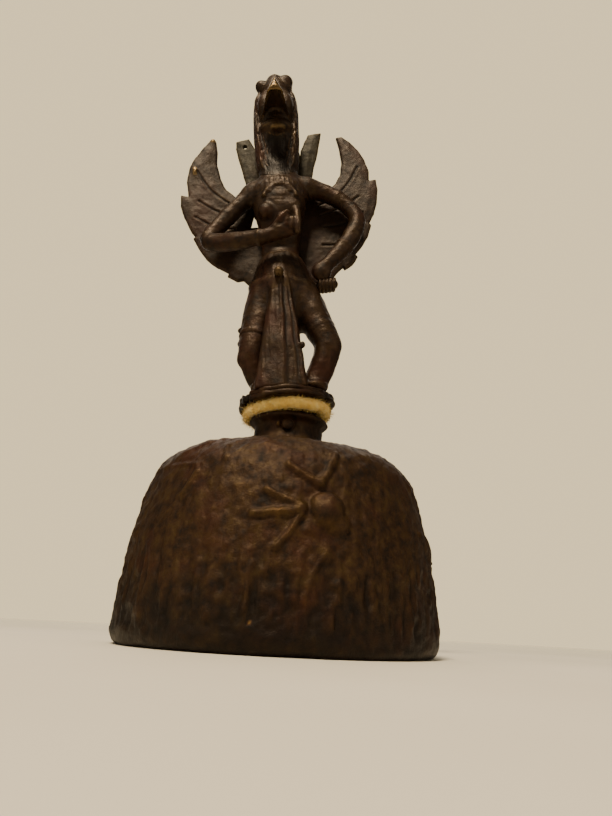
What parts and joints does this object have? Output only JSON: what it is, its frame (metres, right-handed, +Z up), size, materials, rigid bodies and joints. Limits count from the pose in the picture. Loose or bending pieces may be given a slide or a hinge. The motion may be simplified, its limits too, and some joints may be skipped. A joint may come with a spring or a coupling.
{
  "type": "hand bell",
  "caption": "Cast bronze hand bell with a squat dome, a pinned collar and a tall handle shaped as a winged, bird-headed standing figure, with a swinging clapper inside.",
  "frame": {"origin": "centre of the mouth, on the plane of the rim that the bell stands on", "axes": "+Z up the bell's axis, -Y the way the figure looks, +X to the figure's own left"},
  "size_m": [0.09, 0.09, 0.2028],
  "materials": {
    "bell_bronze": "dark brown patina over cast bronze, rubbed lighter on the high spots",
    "figure_bronze": "brown patina with reddish patches, semi-gloss where it is handled",
    "wing_bronze": "reddish-brown patina over cast bronze",
    "bar_bronze": "greenish-grey patina over cast bronze",
    "pin_bronze": "hammered pin ends, rubbed bright",
    "cord_fibre": "soft yellow twisted yarn with loose hairs",
    "clapper_iron": "dark forged iron"
  },
  "bodies": {
    "bell": {"bell_shell": "bell_bronze", "cross_pin": "pin_bronze", "packing_cord": "cord_fibre", "foot_disc": "figure_bronze", "right_leg": "figure_bronze", "left_leg": "figure_bronze", "hips": "figure_bronze", "apron": "figure_bronze", "belt": "figure_bronze", "belt_boss": "figure_bronze", "belt_knot": "figure_bronze", "torso": "figure_bronze", "breast_collar": "figure_bronze", "right_arm": "figure_bronze", "left_arm": "figure_bronze", "head": "figure_bronze", "upper_beak": "figure_bronze", "lower_beak": "figure_bronze", "eyes": "figure_bronze", "mane": "figure_bronze", "right_wing": "wing_bronze", "left_wing": "wing_bronze", "back_plate": "bar_bronze", "right_back_bar": "bar_bronze", "left_back_bar": "bar_bronze", "clapper_staple": "clapper_iron"},
    "link": {"clapper_link": "clapper_iron"},
    "clapper": {"clapper": "clapper_iron"}
  },
  "joints": [
    {"name": "clapper_swing", "type": "hinge", "parent": "bell", "child": "link", "pos_m": [0, 0, 0.0485], "axis": [1, 0, 0], "range_deg": [-52, 52]},
    {"name": "clapper_sway", "type": "hinge", "parent": "link", "child": "clapper", "pos_m": [0, 0, 0.04365], "axis": [0, 1, 0], "range_deg": [-15, 15]}
  ]
}
